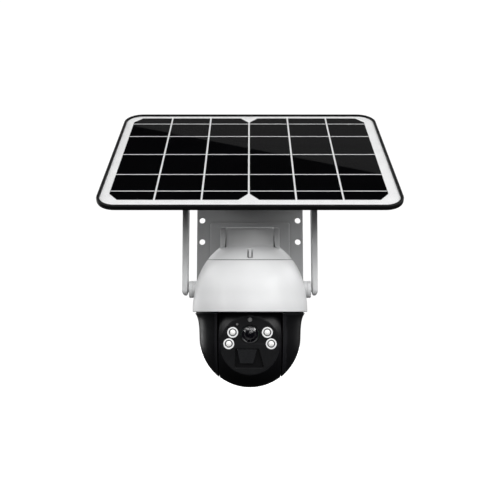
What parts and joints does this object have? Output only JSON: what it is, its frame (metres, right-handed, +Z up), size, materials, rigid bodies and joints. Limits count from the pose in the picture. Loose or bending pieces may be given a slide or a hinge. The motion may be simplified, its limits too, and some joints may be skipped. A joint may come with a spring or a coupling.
{
  "type": "solar-powered pan-and-tilt security camera",
  "caption": "Wall-mounted dome camera with a tilting solar panel above it, side antennas and a motorised ball head that pans and tilts.",
  "frame": {"origin": "centre of the wall bolt pattern on the wall plate's rear face", "axes": "+Y into the wall, -Y out of the wall towards the viewer, +Z up, +X to the right seen from the front"},
  "size_m": [0.2936, 0.1824, 0.3125],
  "materials": {
    "bracket_grey": "fine-textured grey powder coat",
    "housing_grey": "light grey moulded plastic, satin",
    "hood_white": "white moulded plastic, soft gloss",
    "seal_rubber": "dark matt rubber",
    "steel": "plain zinc-plated steel",
    "inner_plastic": "black plastic, matt",
    "gear_plastic": "natural acetal",
    "motor_can": "plated motor can",
    "circuit_board": "green solder mask",
    "cell_wrap": "blue shrink wrap",
    "black_plastic": "black plastic, satin gloss",
    "face_black": "black face cover, semi-gloss",
    "lens_black": "anodised black",
    "lens_glass": "coated lens glass",
    "led_white": "white ring, glossy",
    "led_lens": "clear domed lamp over a white die",
    "sensor_grey": "smoked grey window",
    "pir_film": "dark infrared film",
    "panel_black": "black frame, satin",
    "backsheet_white": "white backsheet under the glass",
    "silicon": "near-black monocrystalline cells",
    "ribbon": "tinned ribbon",
    "panel_glass": "clear tempered glass",
    "button_red": "red button"
  },
  "bodies": {
    "root": {"wall_plate": "bracket_grey", "arm_gasket": "seal_rubber", "arm_housing": "housing_grey", "arm_screws": "steel", "hood_shell": "hood_white", "hood_seal": "seal_rubber", "hood_screw": "steel", "hood_base": "inner_plastic", "base_screws": "steel", "pan_bush": "gear_plastic", "pan_motor": "motor_can", "main_board": "circuit_board", "battery_cells": "cell_wrap", "battery_tray": "inner_plastic", "antenna_base_left": "housing_grey", "antenna_base_right": "housing_grey", "charge_socket": "inner_plastic", "service_board": "circuit_board", "panel_strut": "bracket_grey", "strut_screws": "steel", "hinge_bolt": "steel"},
    "pan_yoke": {"pan_deck": "black_plastic", "pan_gear": "gear_plastic", "cheek_left": "black_plastic", "cheek_right": "black_plastic", "cheek_cover_left": "black_plastic", "cheek_cover_right": "black_plastic", "tilt_bushes": "gear_plastic", "tilt_motor": "motor_can", "speaker": "inner_plastic"},
    "camera_head": {"ball_front": "black_plastic", "ball_rear": "black_plastic", "tilt_axles": "steel", "tilt_gear": "gear_plastic", "face_plate": "face_black", "lens_barrel": "lens_black", "lens_glass": "lens_glass", "image_sensor": "inner_plastic", "led_rings": "led_white", "led_lamps": "led_lens", "light_sensor": "sensor_grey", "status_lamp": "sensor_grey", "pir_lens": "pir_film", "head_board": "circuit_board"},
    "solar_panel": {"panel_frame": "panel_black", "panel_backsheet": "backsheet_white", "solar_cells": "silicon", "cell_ribbons": "ribbon", "panel_glass": "panel_glass", "panel_bracket": "bracket_grey", "bracket_screws": "steel", "junction_box": "panel_black"},
    "left_antenna": {"antenna_left": "housing_grey"},
    "right_antenna": {"antenna_right": "housing_grey"},
    "pan_pinion": {"pan_pinion": "gear_plastic"},
    "tilt_pinion": {"tilt_pinion": "gear_plastic"},
    "clamp_knob": {"clamp_knob": "inner_plastic"},
    "service_cover": {"service_cover": "seal_rubber"},
    "reset_button": {"reset_button": "button_red"},
    "power_button": {"power_button": "sensor_grey"}
  },
  "joints": [
    {"name": "pan", "type": "hinge", "parent": "root", "child": "pan_yoke", "pos_m": [0, -0.095, -0.071], "axis": [0, 0, 1], "range_deg": [-175, 175]},
    {"name": "tilt", "type": "hinge", "parent": "pan_yoke", "child": "camera_head", "pos_m": [0, -0.095, -0.0962], "axis": [1, 0, 0], "range_deg": [-15, 80]},
    {"name": "panel_tilt", "type": "hinge", "parent": "root", "child": "solar_panel", "pos_m": [0, -0.08806, 0.08406], "axis": [1, 0, 0], "range_deg": [-15, 10]},
    {"name": "left_antenna_swing", "type": "hinge", "parent": "root", "child": "left_antenna", "pos_m": [-0.065, -0.095, -0.0473], "axis": [1, 0, 0], "range_deg": [-80, 90]},
    {"name": "right_antenna_swing", "type": "hinge", "parent": "root", "child": "right_antenna", "pos_m": [0.065, -0.095, -0.0473], "axis": [1, 0, 0], "range_deg": [-80, 90]},
    {"name": "pan_pinion_spin", "type": "hinge", "parent": "root", "child": "pan_pinion", "pos_m": [0, -0.0646, -0.071], "axis": [0, 0, 1], "range_deg": [-657, 657]},
    {"name": "tilt_pinion_spin", "type": "hinge", "parent": "pan_yoke", "child": "tilt_pinion", "pos_m": [-0.04, -0.095, -0.077], "axis": [1, 0, 0], "range_deg": [-165, 35]},
    {"name": "knob_turn", "type": "hinge", "parent": "root", "child": "clamp_knob", "pos_m": [0.0142, -0.08806, 0.08406], "axis": [1, 0, 0], "range_deg": [0, 360]},
    {"name": "cover_swing", "type": "hinge", "parent": "root", "child": "service_cover", "pos_m": [0, -0.015, -0.0194], "axis": [1, 0, 0], "range_deg": [0, 90]},
    {"name": "reset_press", "type": "slide", "parent": "root", "child": "reset_button", "axis": [0, 0, 1], "range_m": [0, 0.0008], "stiffness_N_per_m": 200, "springref_m": -0.0005},
    {"name": "power_press", "type": "slide", "parent": "root", "child": "power_button", "axis": [0, 0, 1], "range_m": [0, 0.0008], "stiffness_N_per_m": 200, "springref_m": -0.0005}
  ],
  "couplings": [
    {"joint": "pan_pinion_spin", "follows": "pan", "ratio": -3.75},
    {"joint": "tilt_pinion_spin", "follows": "tilt", "ratio": -2}
  ]
}
